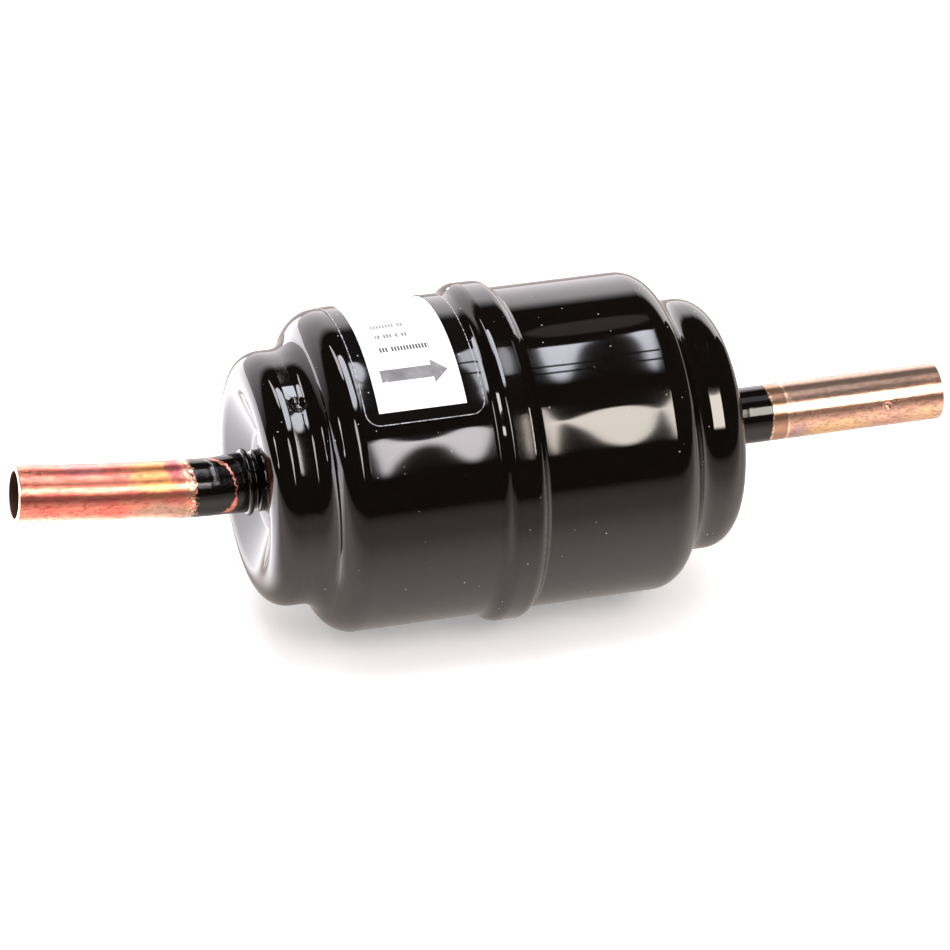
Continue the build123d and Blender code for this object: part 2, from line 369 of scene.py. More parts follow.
def make_stain() -> Tree:
    """Group: mask of one soft oval patch with an uneven outline.

    Returns:
        The group's tree.
    """
    sizes = {
        "Along": 0.0,
        "Angle": 0.0,
        "Along middle": 0.0,
        "Along half": 1.0,
        "Angle middle": 0.0,
        "Angle half": 1.0,
        "Uneven": 0.6,
        "Grain": 260.0,
    }
    graph, given, out = new_group("stain", sizes, ("Mask",))
    parts = []
    for label in ("Along", "Angle"):
        off = graph.minus(given[label], given[label + " middle"])
        parts.append(graph.math("DIVIDE", off, given[label + " half"]))
    squares = graph.math("MULTIPLY_ADD", parts[0], parts[0], graph.times(parts[1], parts[1]))
    noise = graph.minus(graph.noise(graph.place(), given["Grain"], 3.0), 0.5)
    reach = graph.math("MULTIPLY_ADD", noise, given["Uneven"], graph.math("SQRT", squares))
    graph.feed(out.inputs["Mask"], graph.ramp(reach, 1.25, 0.55))
    return graph.tree


class SharedEffects:
    """Node groups that more than one finish uses, each built once."""

    def __init__(self) -> None:
        """Builds the groups."""
        self.orange_peel = make_orange_peel()
        self.dust = make_dust()
        self.unrolled = make_unrolled()
        self.stain = make_stain()


@dataclass(frozen=True)
class BlackEnamel:
    """High gloss baked enamel on the steel."""

    colour: Colour = (0.0024, 0.0017, 0.0013, 1.0)
    dust_colour: Colour = (0.40, 0.39, 0.38, 1.0)
    roughness: float = 0.03
    dust_roughness: float = 0.8
    index: float = 1.6
    peel_height: float = 0.00000012

    def make(self, effects: SharedEffects) -> Material:
        """Builds the material from the shared effects.

        Args:
            effects: The shared groups.

        Returns:
            The material.
        """
        material, graph = new_material("black_enamel")
        speck = graph.group(effects.dust).outputs["Speck"]
        peel = graph.group(effects.orange_peel).outputs["Height"]
        graph.surface(
            Base_Color=graph.mix(speck, self.colour, self.dust_colour),
            Roughness=graph.ramp(speck, 0.0, 1.0, self.roughness, self.dust_roughness),
            IOR=self.index,
            Normal=graph.bump(peel, self.peel_height),
        )
        return material


@dataclass(frozen=True)
class HeatMark:
    """One patch of oxide colour that the brazing flame left on a tube."""

    along: float
    along_half: float
    angle: float
    angle_half: float
    colour: Colour
    share: float = 1.0


@dataclass(frozen=True)
class TubeFinish:
    """Drawn copper, tinted by heat, with enamel on its root.

    Lengths are millimetres along X and angles degrees up from the near side. The colours are the
    copper's own, its blotches, its fine specks, the bore and the deburred rim.
    """

    name: str
    copper: Colour
    blotch: Colour
    speck: Colour
    marks: tuple[HeatMark, ...]
    paint_end: float
    paint_ragged: float
    end: Ends
    mouth: tuple[float, float, float, float]
    rise: tuple[float, float, float] = (-1000.0, 0.0, 0.0)
    band_length: float = 0.0
    band: Colour = (0.40, 0.21, 0.13, 1.0)
    band_cloud: Colour = (0.55, 0.33, 0.22, 1.0)
    band_edge: Colour = (0.95, 0.72, 0.52, 1.0)
    cracked: bool = False
    crack_along: float = -53.7
    crack_angle: float = 15.0
    crack_bow: float = 0.00055
    bore: Colour = (0.10, 0.045, 0.03, 1.0)
    rim: Colour = (0.98, 0.83, 0.66, 1.0)
    fleck: Colour = (0.98, 0.82, 0.58, 1.0)
    paint: Colour = (0.0026, 0.002, 0.0016, 1.0)
    bore_radius: float = 5.0
    roughness: float = 0.21
    roughness_drift: float = 0.12
    paint_roughness: float = 0.07
    bore_roughness: float = 0.6
    metallic: float = 0.86
    drawn_stretch: float = 0.35
    blotch_scale: float = 420.0
    speck_scale: float = 2300.0
    speck_share: float = 0.65
    grit_scale: float = 2600.0
    grit_height: float = 0.000002
    wrinkle_share: float = 9.0

    def make(self, effects: SharedEffects) -> Material:
        """Builds the material from the shared effects.

        Args:
            effects: The shared groups.

        Returns:
            The material.
        """
        material, graph = new_material(self.name)
        graph.unroll(effects.unrolled, *self.rise)
        colour = self.copper_colour(graph, effects)
        if self.band_length:
            colour = self.add_band(graph, colour)
        paint, fleck = self.paint_masks(graph)
        bore = graph.math("LESS_THAN", graph.radius, self.bore_radius)
        for mask, tint in ((fleck, self.fleck), (bore, self.bore), (self.rim_mask(graph), self.rim)):
            colour = graph.mix(mask, colour, tint)
        bare = graph.minus(1.0, paint)
        graph.surface(
            Base_Color=graph.mix(paint, colour, self.paint),
            Roughness=self.roughness_map(graph, paint, bore),
            Metallic=graph.times(bare, self.metallic),
            Normal=self.relief(graph, paint, bare),
        )
        return material

    def rim_mask(self, graph: Graph) -> Socket:
        """Mask of the deburred rim at the tube's mouth.

        Args:
            graph: The material's graph.

        Returns:
            The mask.
        """
        x, _, z = (graph.math("DIVIDE", part, MM) for part in graph.axes(graph.here))
        mouth_x, mouth_z, out_x, out_z = self.mouth
        ahead = graph.times(graph.minus(x, mouth_x), out_x)
        ahead = graph.math("MULTIPLY_ADD", graph.minus(z, mouth_z), out_z, ahead)
        return graph.ramp(ahead, -0.22, -0.08)

    def roughness_map(self, graph: Graph, paint: Socket, bore: Socket) -> Socket:
        """Roughness of the copper, of the paint on it and of its bore.

        Args:
            graph: The material's graph.
            paint: Mask of the enamel.
            bore: Mask of the bore.

        Returns:
            The roughness.
        """
        drift = graph.noise(graph.here, 700.0, 2.0)
        low = self.roughness - self.roughness_drift / 2
        rough = graph.math("MULTIPLY_ADD", drift, self.roughness_drift, low)
        rough = graph.ramp(paint, 0.0, 1.0, rough, self.paint_roughness)
        return graph.ramp(bore, 0.0, 1.0, rough, self.bore_roughness)

    def relief(self, graph: Graph, paint: Socket, bare: Socket) -> Socket:
        """Normal with the wrinkles of the paint and the fine grit of the copper.

        Args:
            graph: The material's graph.
            paint: Mask of the enamel.
            bare: Mask of the bare copper.

        Returns:
            The normal.
        """
        wrinkle = graph.times(graph.noise(graph.here, 420.0, 2.0), paint)
        grit = graph.times(graph.noise(graph.here, self.grit_scale, 2.0), bare)
        return graph.bump(graph.math("MULTIPLY_ADD", wrinkle, self.wrinkle_share, grit), self.grit_height)

    def copper_colour(self, graph: Graph, effects: SharedEffects) -> Socket:
        """Colour of the bare copper with its blotches, specks and heat marks.

        Args:
            graph: The material's graph.
            effects: The shared groups.

        Returns:
            The colour.
        """
        drawn = graph.node("ShaderNodeMapping")
        drawn.inputs["Scale"].default_value = (self.drawn_stretch, 1.0, 1.0)
        graph.feed(drawn.inputs["Vector"], graph.here)
        blotches = graph.ramp(graph.noise(drawn.outputs[0], self.blotch_scale, 4.0, 0.6), 0.42, 0.62)
        colour = graph.mix(blotches, self.copper, self.blotch)
        for mark in self.marks:
            patch = graph.group(
                effects.stain,
                Along=graph.along,
                Angle=graph.angle,
                Along_middle=mark.along,
                Along_half=mark.along_half,
                Angle_middle=mark.angle,
                Angle_half=mark.angle_half,
            )
            share = graph.times(patch.outputs["Mask"], mark.share)
            colour = graph.mix(share, colour, mark.colour)
        grain = graph.noise(drawn.outputs[0], self.speck_scale, 3.0, 0.7)
        return graph.mix(graph.ramp(grain, 0.48, 0.64, 0.0, self.speck_share), colour, self.speck)

    def add_band(self, graph: Graph, colour: Socket) -> Socket:
        """Adds the thin brown film of enamel past the paint, up to its crisp edge.

        Args:
            graph: The material's graph.
            colour: Colour that it lies on.

        Returns:
            The colour with the film.
        """
        end = self.paint_end + self.end.value * self.band_length
        waves = graph.minus(graph.noise(graph.here, 300.0), 0.5)
        wavy = graph.math("MULTIPLY_ADD", waves, 0.5, graph.along)
        past = graph.times(graph.minus(wavy, end), self.end.value)
        film = graph.mix(graph.noise(graph.here, 900.0, 3.0), self.band, self.band_cloud)
        colour = graph.mix(graph.ramp(past, 0.12, -0.12), colour, film)
        line = graph.times(graph.ramp(past, -0.1, 0.1), graph.ramp(past, 0.55, 0.2))
        return graph.mix(graph.times(line, 0.8), colour, self.band_edge)

    def paint_masks(self, graph: Graph) -> tuple[Socket, Socket]:
        """Masks of the enamel on the tube's root and of the bright flecks at its ragged edge.

        Args:
            graph: The material's graph.

        Returns:
            Both masks.
        """
        ragged = graph.minus(graph.noise(graph.here, 1300.0, 4.0, 0.75), 0.5)
        wave = graph.minus(graph.noise(graph.here, 170.0, 1.0), 0.5)
        past = graph.times(graph.minus(graph.along, self.paint_end), self.end.value)
        past = graph.math("MULTIPLY_ADD", wave, 1.6, past)
        paint = graph.ramp(graph.math("MULTIPLY_ADD", ragged, 4.0 * self.paint_ragged, past), 0.15, -0.15)
        far = graph.ramp(graph.math("ABSOLUTE", past), 0.4, 1.6 * self.paint_ragged)
        grain = graph.ramp(graph.noise(graph.here, 1900.0, 2.0, 0.6), 0.50, 0.60)
        fleck = graph.times(graph.minus(1.0, far), grain)
        if self.cracked:
            whole = graph.minus(1.0, self.crack_mask(graph))
            paint = graph.times(paint, whole)
        return paint, fleck

    def crack_mask(self, graph: Graph) -> Socket:
        """Mask of the ragged crack that runs round the painted root and shows the copper.

        Args:
            graph: The material's graph.

        Returns:
            The mask.
        """
        off = graph.minus(graph.angle, self.crack_angle)
        bowed = graph.times(graph.times(off, off), self.crack_bow)
        past = graph.minus(graph.along, graph.minus(self.crack_along, bowed))
        jitter = graph.minus(graph.noise(graph.here, 650.0, 3.0, 0.7), 0.5)
        away = graph.math("ABSOLUTE", graph.math("MULTIPLY_ADD", jitter, 2.4, past))
        low_width = graph.ramp(graph.angle, 0.0, -25.0, 0.14, 0.75)
        width = graph.math("ADD", low_width, graph.ramp(graph.angle, 45.0, 75.0, 0.0, 0.24))
        line = graph.ramp(graph.minus(away, width), 0.12, -0.12)
        return graph.times(line, graph.ramp(graph.angle, -48.0, -40.0), graph.ramp(graph.angle, 118.0, 100.0))


@dataclass(frozen=True)
class PrintRow:
    """Row of plain blocks in place of small print: height up the can in degrees, ends in millimetres."""

    angle: float
    start: float
    stop: float
    height: float
    ink: float


@dataclass(frozen=True)
class CoatedPaper:
    """White coated paper of the label, with a grey flow arrow and rows of plain blocks."""

    colour: Colour = (0.94, 0.945, 0.955, 1.0)
    ink: Colour = (0.035, 0.033, 0.04, 1.0)
    arrow_ink: Colour = (0.06, 0.054, 0.06, 1.0)
    arrow_tail: float = -26.7
    arrow_neck: float = -16.1
    arrow_tip: float = -12.9
    arrow_angle: float = 58.2
    shaft_half: float = 2.5
    head_half: float = 4.9
    block: float = 0.62
    block_half: float = 0.36
    block_share: float = 0.8
    worn_start: float = 0.68
    worn_end: float = 0.71
    roughness: float = 0.5
    coat_roughness: float = 0.03
    coat_index: float = 1.5
    rows: tuple[PrintRow, ...] = (
        PrintRow(69.6, -25.4, -15.2, 2.3, 0.95),
        PrintRow(76.4, -25.2, -18.0, 2.1, 0.85),
        PrintRow(82.3, -25.4, -18.0, 2.1, 0.75),
        PrintRow(89.0, -26.4, -22.6, 1.6, 0.30),
        PrintRow(97.5, -26.2, -15.6, 2.2, 0.42),
        PrintRow(108.0, -26.0, -14.0, 2.2, 0.30),
        PrintRow(116.0, -26.0, -18.0, 2.2, 0.5),
        PrintRow(124.0, -26.0, -13.5, 2.2, 0.5),
    )

    def make(self, effects: SharedEffects) -> Material:
        """Builds the material from the shared effects.

        Args:
            effects: The shared groups.

        Returns:
            The material.
        """
        material, graph = new_material("white_label")
        graph.unroll(effects.unrolled)
        colour = graph.mix(graph.noise(graph.here, 900.0, 3.0), self.colour, grey(0.92))
        arrow = self.arrow(graph)
        ink = graph.mix(graph.noise(graph.here, 260.0, 3.0, 0.6), self.arrow_ink, grey(0.32))
        colour = graph.mix(arrow, colour, ink)
        for row in self.rows:
            colour = graph.mix(self.blocks(graph, row), colour, self.ink)
        graph.surface(
            Base_Color=colour,
            Roughness=self.roughness,
            Coat_Weight=1.0,
            Coat_Roughness=self.coat_roughness,
            Coat_IOR=self.coat_index,
        )
        return material

    def arrow(self, graph: Graph) -> Socket:
        """Mask of the flow arrow, with its ink a little worn.

        Args:
            graph: The material's graph.

        Returns:
            The mask.
        """
        off = graph.off(graph.angle, self.arrow_angle)
        line = graph.math("LESS_THAN", off, self.shaft_half)
        shaft = graph.times(line, graph.between(graph.along, self.arrow_tail, self.arrow_neck))
        left = graph.minus(self.arrow_tip, graph.along)
        left = graph.math("DIVIDE", left, self.arrow_tip - self.arrow_neck)
        head = graph.math("LESS_THAN", off, graph.times(left, self.head_half))
        head = graph.times(head, graph.math("GREATER_THAN", graph.along, self.arrow_neck))
        worn = graph.ramp(graph.noise(graph.here, 1100.0, 3.0, 0.7), self.worn_start, self.worn_end)
        return graph.times(graph.math("MAXIMUM", shaft, head), graph.minus(1.0, worn))

    def blocks(self, graph: Graph, row: PrintRow) -> Socket:
        """Mask of one row of print blocks with uneven gaps.

        Args:
            graph: The material's graph.
            row: The row.

        Returns:
            The mask, as strong as the row's ink.
        """
        cell = graph.math("DIVIDE", graph.along, self.block)
        pick = graph.node("ShaderNodeTexWhiteNoise", noise_dimensions="1D")
        graph.feed(pick.inputs["W"], graph.math("ADD", graph.math("FLOOR", cell), row.angle))
        shown = graph.math("LESS_THAN", pick.outputs["Value"], self.block_share)
        inside = graph.math("LESS_THAN", graph.off(graph.math("FRACT", cell), 0.5), self.block_half)
        tall = graph.math("LESS_THAN", graph.off(graph.angle, row.angle), row.height / 2)
        return graph.times(shown, inside, tall, graph.between(graph.along, row.start, row.stop), row.ink)


@dataclass(frozen=True)
class ClearFilm:
    """Clear film over the label: see-through over the paper, and gloss on the enamel round it."""

    paper: tuple[float, float]
    paper_angles: tuple[float, float]
    film: tuple[float, float]
    film_angles: tuple[float, float]
    can_radius: float
    corner: float = 3.0
    colour: Colour = (0.0035, 0.003, 0.003, 1.0)
    cut_edge: Colour = (0.62, 0.63, 0.66, 1.0)
    edge_width: float = 0.16
    speck_share: float = 0.12
    roughness: float = 0.02
    edge_roughness: float = 0.5
    index: float = 1.58

    def make(self, effects: SharedEffects) -> Material:
        """Builds the material from the shared effects.

        Args:
            effects: The shared groups.

        Returns:
            The material.
        """
        material, graph = new_material("clear_film")
        graph.unroll(effects.unrolled)
        over_paper = graph.between(graph.along, *self.paper)
        over_paper = graph.times(over_paper, graph.between(graph.angle, *self.paper_angles))
        depth = self.depth(graph)
        broken = graph.ramp(graph.noise(graph.here, 1500.0, 3.0, 0.7), 0.36, 0.60, 0.15, 1.0)
        cut = graph.times(graph.ramp(depth, self.edge_width, 0.4 * self.edge_width), broken)
        speck = graph.group(effects.dust, Share=self.speck_share).outputs["Speck"]
        pale = graph.math("MAXIMUM", cut, speck)
        graph.surface(
            Base_Color=graph.mix(pale, self.colour, self.cut_edge),
            Roughness=graph.ramp(pale, 0.0, 1.0, self.roughness, self.edge_roughness),
            IOR=self.index,
            Alpha=graph.minus(1.0, over_paper),
        )
        return material

    def depth(self, graph: Graph) -> Socket:
        """Distance in from the film's outline with its round corners, in millimetres.

        Args:
            graph: The material's graph.

        Returns:
            The distance.
        """
        degree = math.radians(1.0) * self.can_radius
        parts = []
        sides = ((graph.along, self.film, 1.0), (graph.angle, self.film_angles, degree))
        for value, (low, high), scale in sides:
            off = graph.off(value, (low + high) / 2)
            half = (high - low) / 2 * scale
            parts.append(graph.minus(graph.times(off, scale), half - self.corner))
        outer = [graph.math("MAXIMUM", part, 0.0) for part in parts]
        squares = graph.math("MULTIPLY_ADD", outer[0], outer[0], graph.times(outer[1], outer[1]))
        inner = graph.math("MINIMUM", graph.math("MAXIMUM", parts[0], parts[1]), 0.0)
        distance = graph.math("ADD", graph.math("SQRT", squares), inner)
        return graph.minus(self.corner, distance)


@dataclass(frozen=True)
class PlainFinish:
    """Simple finish of a piece inside the can."""

    name: str
    light: Colour
    dark: Colour
    grain: float
    roughness: float
    metallic: float
    relief: float

    def make(self, effects: SharedEffects) -> Material:
        """Builds the material from the shared effects.

        Args:
            effects: The shared groups.

        Returns:
            The material.
        """
        material, graph = new_material(self.name)
        pattern = graph.noise(graph.place(), self.grain, 4.0, 0.7)
        graph.surface(
            Base_Color=graph.mix(pattern, self.dark, self.light),
            Roughness=self.roughness,
            Metallic=self.metallic,
            Normal=graph.bump(pattern, self.relief),
        )
        return material


def dress(node: str, material: Material) -> None:
    """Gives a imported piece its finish.

    Args:
        node: The piece's name.
        material: Its finish.
    """
    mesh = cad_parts[node].data
    mesh.materials.clear()
    mesh.materials.append(material)
    log.info("%s is dressed in %s", node, material.name)


@dataclass
class Can:
    """The two cups, their weld, the fittings and the braze rings."""

    enamelled: tuple[str, ...] = (
        "inlet_shell",
        "outlet_shell",
        "girth_weld",
        "inlet_spud",
        "outlet_spud",
        "inlet_spud_weld",
        "outlet_spud_weld",
        "inlet_braze_ring",
        "outlet_braze_ring",
    )

    def finish(self, effects: SharedEffects) -> None:
        """Dresses the can's pieces.

        Args:
            effects: The shared groups.
        """
        enamel = BlackEnamel().make(effects)
        for node in self.enamelled:
            dress(node, enamel)


@dataclass
class Tubes:
    """The two copper tubes, each with the marks that its brazing left."""

    inlet_mouth: tuple[float, float, float, float] = (-97.87, 3.94, -0.9928, 0.1201)
    inlet_rise: tuple[float, float, float] = (-51.5, 0.058, 0.00062)
    outlet_mouth: tuple[float, float, float, float] = (98.55, 0.0, 1.0, 0.0)

    def finish(self, effects: SharedEffects) -> None:
        """Dresses the tubes."""
        dress("inlet_tube", self.inlet_finish().make(effects))
        dress("outlet_tube", self.outlet_finish().make(effects))

    def inlet_finish(self) -> TubeFinish:
        """Strongly tinted copper of the bent tube, with a cracked and ragged paint edge.

        Returns:
            The finish.
        """
        return TubeFinish(
            name="inlet_copper",
            copper=(0.92, 0.33, 0.22, 1.0),
            blotch=(0.86, 0.22, 0.17, 1.0),
            speck=(0.42, 0.11, 0.08, 1.0),
            marks=(
                HeatMark(-70.0, 5.0, 62.0, 50.0, (0.96, 0.45, 0.14, 1.0), 0.75),
                HeatMark(-65.6, 2.0, 72.0, 32.0, (0.42, 0.09, 0.13, 1.0), 0.85),
                HeatMark(-68.5, 8.5, -38.0, 36.0, (0.50, 0.36, 0.26, 1.0), 0.85),
                HeatMark(-90.0, 9.0, -45.0, 30.0, (0.96, 0.50, 0.36, 1.0), 0.6),
                HeatMark(-84.0, 5.0, 85.0, 25.0, (0.72, 0.34, 0.36, 1.0), 0.5),
            ),
            paint_end=-62.3,
            paint_ragged=1.5,
            end=Ends.INLET,
            mouth=self.inlet_mouth,
            rise=self.inlet_rise,
            cracked=True,
        )

    def outlet_finish(self) -> TubeFinish:
        """Paler and duller copper of the straight tube, with a brown band past its paint.

        Returns:
            The finish.
        """
        return TubeFinish(
            name="outlet_copper",
            copper=(0.88, 0.52, 0.37, 1.0),
            blotch=(0.72, 0.42, 0.31, 1.0),
            speck=(0.34, 0.19, 0.13, 1.0),
            marks=(
                HeatMark(80.0, 22.0, 75.0, 45.0, (0.42, 0.31, 0.24, 1.0), 0.85),
                HeatMark(67.0, 2.6, -35.0, 30.0, (0.42, 0.30, 0.33, 1.0), 0.7),
                HeatMark(75.0, 8.0, -35.0, 30.0, (0.97, 0.62, 0.30, 1.0), 0.8),
                HeatMark(94.0, 4.0, -30.0, 28.0, (0.98, 0.62, 0.33, 1.0), 0.6),
            ),
            paint_end=60.7,
            paint_ragged=0.28,
            end=Ends.OUTLET,
            mouth=self.outlet_mouth,
            band_length=3.3,
        )


@dataclass
class Label:
    """The printed sheet and its clear film."""

    low_angle: float = 44.3
    high_angle: float = 141.0
    edge_margin: float = 2.5
    can_radius: float = 33.0

    def finish(self, effects: SharedEffects) -> None:
        """Dresses the sheet and the film, with the film's see-through part as large as the sheet.

        Args:
            effects: The shared groups.
        """
        dress("label_sheet", CoatedPaper().make(effects))
        paper, film = (self.ends(node) for node in ("label_sheet", "label_overlay"))
        margin = math.degrees(self.edge_margin / self.can_radius)
        clear = ClearFilm(
            paper=paper,
            paper_angles=(self.low_angle, self.high_angle),
            film=film,
            film_angles=(self.low_angle - margin, self.high_angle + margin),
            can_radius=self.can_radius,
        )
        dress("label_overlay", clear.make(effects))

    def ends(self, node: str) -> tuple[float, float]:
        """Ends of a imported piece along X, in millimetres."""
        low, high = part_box(node)
        return low[0] / MM, high[0] / MM


@dataclass
class FilterPack:
    """Spring, plates, pads and core inside the can."""

    def finish(self, effects: SharedEffects) -> None:
        """Dresses the pieces inside.

        Args:
            effects: The shared groups.
        """
        steel = PlainFinish("plain_steel", grey(0.60), grey(0.42), 700.0, 0.32, 1.0, 0.000004)
        felt = PlainFinish("grey_felt", (0.84, 0.83, 0.80, 1.0), grey(0.66), 1500.0, 0.95, 0.0, 0.00012)
        block = PlainFinish(
            "desiccant_block", (0.88, 0.84, 0.76, 1.0), (0.70, 0.65, 0.56, 1.0), 1100.0, 0.9, 0.0, 0.0001,
        )
        pieces = (
            (steel, ("pressure_spring", "spring_plate", "support_plate")),
            (felt, ("inlet_pad", "core_seal", "outlet_pad")),
            (block, ("desiccant_core",)),
        )
        for finish, nodes in pieces:
            material = finish.make(effects)
            for node in nodes:
                dress(node, material)


@dataclass
class Camera:
    """Camera at the photograph's viewing angle."""

    place: Vector = Vector((-0.24942, -0.82504, 0.42500))
    back: Vector = Vector((-0.25690, -0.85685, 0.44698))
    lens: float = 177.97
    sensor: float = 36.0

    def build(self) -> None:
        """Adds the camera and makes it the scene's own."""
        data = bpy.data.cameras.new("camera")
        data.lens = self.lens
        data.sensor_width = self.sensor
        data.clip_start = 0.01
        data.clip_end = 100.0
        camera = bpy.data.objects.new("camera", data)
        camera.location = self.place
        camera.rotation_mode = "QUATERNION"
        camera.rotation_quaternion = (-self.back).to_track_quat("-Z", "Y")
        bpy.context.scene.collection.objects.link(camera)
        bpy.context.scene.camera = camera


def stage_piece(name: str, mesh: bpy.types.Mesh, material: Material) -> bpy.types.Object:
    """Adds a studio mesh that isn't part of the object.

    Args:
        name: The piece's name.
        mesh: Its mesh.
        material: Its one material.

    Returns:
        The new piece.
    """
    mesh.materials.append(material)
    made = bpy.data.objects.new(name, mesh)
    bpy.context.scene.collection.objects.link(made)
    return made


def smooth_value(p: float, q: float, r: float, s: float, t: float) -> float:
    """Value at the share t of the way from q to r, on a smooth curve through p, q, r and s."""
    return 0.5 * (2 * q + (r - p) * t + (2 * p - 5 * q + 4 * r - s) * t**2 + (3 * q - p - 3 * r + s) * t**3)


def smooth_row(points: tuple[Station, ...], between: int) -> list[Station]:
    """Draws a smooth line through stations.

    Args:
        points: The stations in order.
        between: Steps from each station to the next.

    Returns:
        The stations with the steps between them.
    """
    padded = (points[0], *points, points[-1])
    row = []
    for before, start, stop, after in zip(padded, padded[1:], padded[2:], padded[3:]):
        for step in range(between):
            t = step / between
            row.append(tuple(smooth_value(*four, t) for four in zip(before, start, stop, after)))
    return [*row, points[-1]]


class Glow(Enum):
    """Colours of the room's light, from the windows' to the ceiling's."""

    COOL = (0.90, 0.91, 1.0, 1.0)
    PALE = (1.0, 0.94, 0.96, 1.0)
    WARM = (1.0, 0.91, 0.82, 1.0)
    ROSY = (1.0, 0.86, 0.82, 1.0)


@dataclass
class SoftLight:
    """Glowing shape on a drum about the can's axis.

    Its outline is a row of stations (millimetres along X, low angle, high angle). The angles are degrees
    up from the near side. It fades at its edges, and glazing bars cross it at angles of their own.
    """

    name: str
    stations: tuple[Station, ...]
    colour: Glow
    strength: float
    fade_low: float = 4.0
    fade_high: float = 1.5
    bars: tuple[tuple[float, float], ...] = ()
    bar_half: float = 0.8
    fade_first: float = 0.0
    drum_radius: float = 1200.0
    between: int = 4
    rows: int = 10

    def build(self) -> None:
        """Builds the shape, with each point's angles kept for the glow."""
        verts, angles, inside = [], [], []
        columns = smooth_row(self.stations, self.between)
        first, last = columns[0][0], columns[-1][0]
        for x, low, high in columns:
            high = max(high, low)
            for step in range(self.rows + 1):
                angle = low + (high - low) * step / self.rows
                turn = math.radians(angle)
                place = Vector((x, -self.drum_radius * math.cos(turn), self.drum_radius * math.sin(turn)))
                verts.append(place * MM)
                angles.append((angle - low, high - angle, angle))
                inside.append((x - first) / (last - first))
        faces = []
        for column in range(len(columns) - 1):
            for step in range(self.rows):
                corner = column * (self.rows + 1) + step
                faces.append((corner, corner + 1, corner + self.rows + 2, corner + self.rows + 1))
        mesh = bpy.data.meshes.new(self.name)
        mesh.from_pydata(verts, [], faces)
        kept = mesh.attributes.new("angles", "FLOAT_VECTOR", "POINT")
        for point, value in zip(kept.data, angles):
            point.vector = value
        along = mesh.attributes.new("along", "FLOAT", "POINT")
        for point, value in zip(along.data, inside):
            point.value = value
        made = stage_piece(self.name, mesh, self.glow())
        made.visible_camera = False

    def glow(self) -> Material:
        """Glowing material that fades at the shape's edges and is dark at its bars.

        Returns:
            The material.
        """
        material, graph = new_material(self.name)
        angles = graph.node("ShaderNodeAttribute", attribute_name="angles").outputs["Vector"]
        above, below, angle = graph.axes(angles)
        along = graph.node("ShaderNodeAttribute", attribute_name="along").outputs["Fac"]
        share = graph.times(graph.ramp(above, 0.0, self.fade_low), graph.ramp(below, 0.0, self.fade_high))
        if self.fade_first:
            share = graph.times(share, graph.ramp(along, -0.2, self.fade_first))
        for left, right in self.bars:
            middle = graph.math("MULTIPLY_ADD", along, right - left, left)
            bar = graph.ramp(graph.off(angle, middle), 0.4 * self.bar_half, 1.5 * self.bar_half, 0.08, 1.0)
            share = graph.times(share, bar)
        lamp = graph.node("ShaderNodeEmission")
        lamp.inputs["Color"].default_value = self.colour.value
        graph.feed(lamp.inputs["Strength"], graph.times(share, self.strength))
        graph.output(lamp)
        return material


